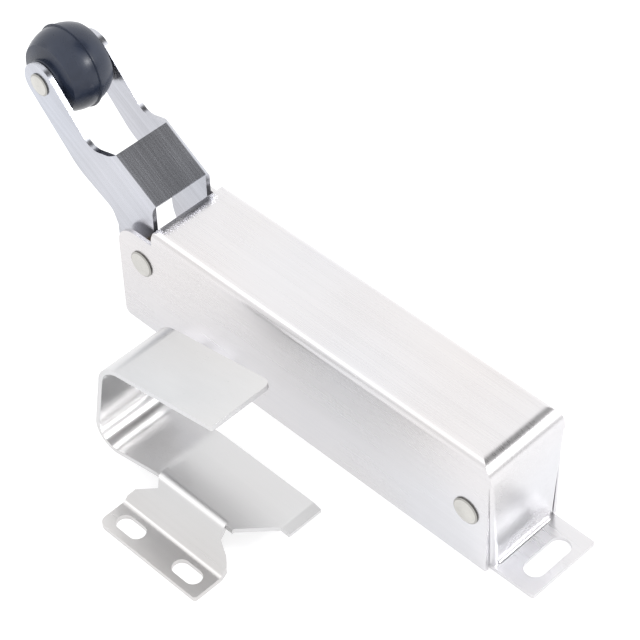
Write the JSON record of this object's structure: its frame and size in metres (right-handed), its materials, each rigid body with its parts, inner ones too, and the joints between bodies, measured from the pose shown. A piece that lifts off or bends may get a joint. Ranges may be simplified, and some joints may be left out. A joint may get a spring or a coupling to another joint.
{
  "type": "spring-action door closer with strike",
  "caption": "Surface-mounted spring door closer: folded steel housing, over-centre arm with a rubber roller, and a loose hook strike that catches the roller.",
  "frame": {"origin": "on the mounting plane, midway between the two ear holes of the housing", "axes": "+X along the housing from the roller arm's end to the slotted tail foot, +Z away from the mounting plane, the strike lies on the -Y side"},
  "size_m": [0.3291, 0.1605, 0.1286],
  "materials": {
    "cover_steel": "satin, fine grain along the length",
    "arm_steel": "brushed along the arm",
    "strike_steel": "satin",
    "pin_steel": "turned and polished, peened ends",
    "zinc_steel": "bright zinc plate",
    "spring_steel": "oiled spring steel",
    "bronze": "sintered bronze",
    "roller_rubber": "moulded, satin"
  },
  "bodies": {
    "housing": {"cover": "cover_steel", "arm_pivot_pin": "pin_steel", "tail_pin": "pin_steel", "tail_spacer_near": "zinc_steel", "tail_spacer_far": "zinc_steel"},
    "arm_body": {"arm": "arm_steel", "pivot_bush_near": "bronze", "pivot_bush_far": "bronze", "crank_pin": "pin_steel", "crank_clip_near": "zinc_steel", "crank_clip_far": "zinc_steel", "crank_sleeve_near": "zinc_steel", "crank_sleeve_far": "zinc_steel", "roller_axle": "pin_steel", "roller_washer_near": "zinc_steel", "roller_washer_far": "zinc_steel"},
    "roller": {"roller_tyre": "roller_rubber", "roller_bush": "bronze"},
    "seat": {"spring_seat": "zinc_steel", "rear_washer": "zinc_steel"},
    "rod": {"guide_rod": "zinc_steel", "rod_end": "zinc_steel", "front_washer": "zinc_steel", "adjusting_nut": "zinc_steel", "lock_nut": "zinc_steel", "main_spring": "spring_steel"},
    "strike_body": {"strike": "strike_steel"}
  },
  "joints": [
    {"name": "arm_swing", "type": "hinge", "parent": "housing", "child": "arm_body", "pos_m": [-0.0316, 0, 0.0416], "axis": [0, -1, 0], "range_deg": [0, 57], "stiffness_Nm_per_rad": 1.2, "springref_deg": -34.38},
    {"name": "roller_spin", "type": "hinge", "parent": "arm_body", "child": "roller", "pos_m": [-0.1, 0, 0.107], "axis": [0, 1, 0], "continuous": true},
    {"name": "seat_swivel", "type": "hinge", "parent": "housing", "child": "seat", "pos_m": [0.171, 0, 0.0314], "axis": [0, 1, 0], "range_deg": [0, 5.3]},
    {"name": "rod_slide", "type": "slide", "parent": "seat", "child": "rod", "axis": [1, 0, -0.0044], "range_m": [0, 0.0024], "stiffness_N_per_m": 5000, "springref_m": -0.004, "deforming": ["main_spring"]},
    {"name": "strike_lift", "type": "slide", "parent": "housing", "child": "strike_body", "axis": [0, 0, 1], "range_m": [0, 0.08]}
  ],
  "couplings": [
    {"joint": "seat_swivel", "follows": "arm_swing", "ratio": 0.09225}
  ]
}
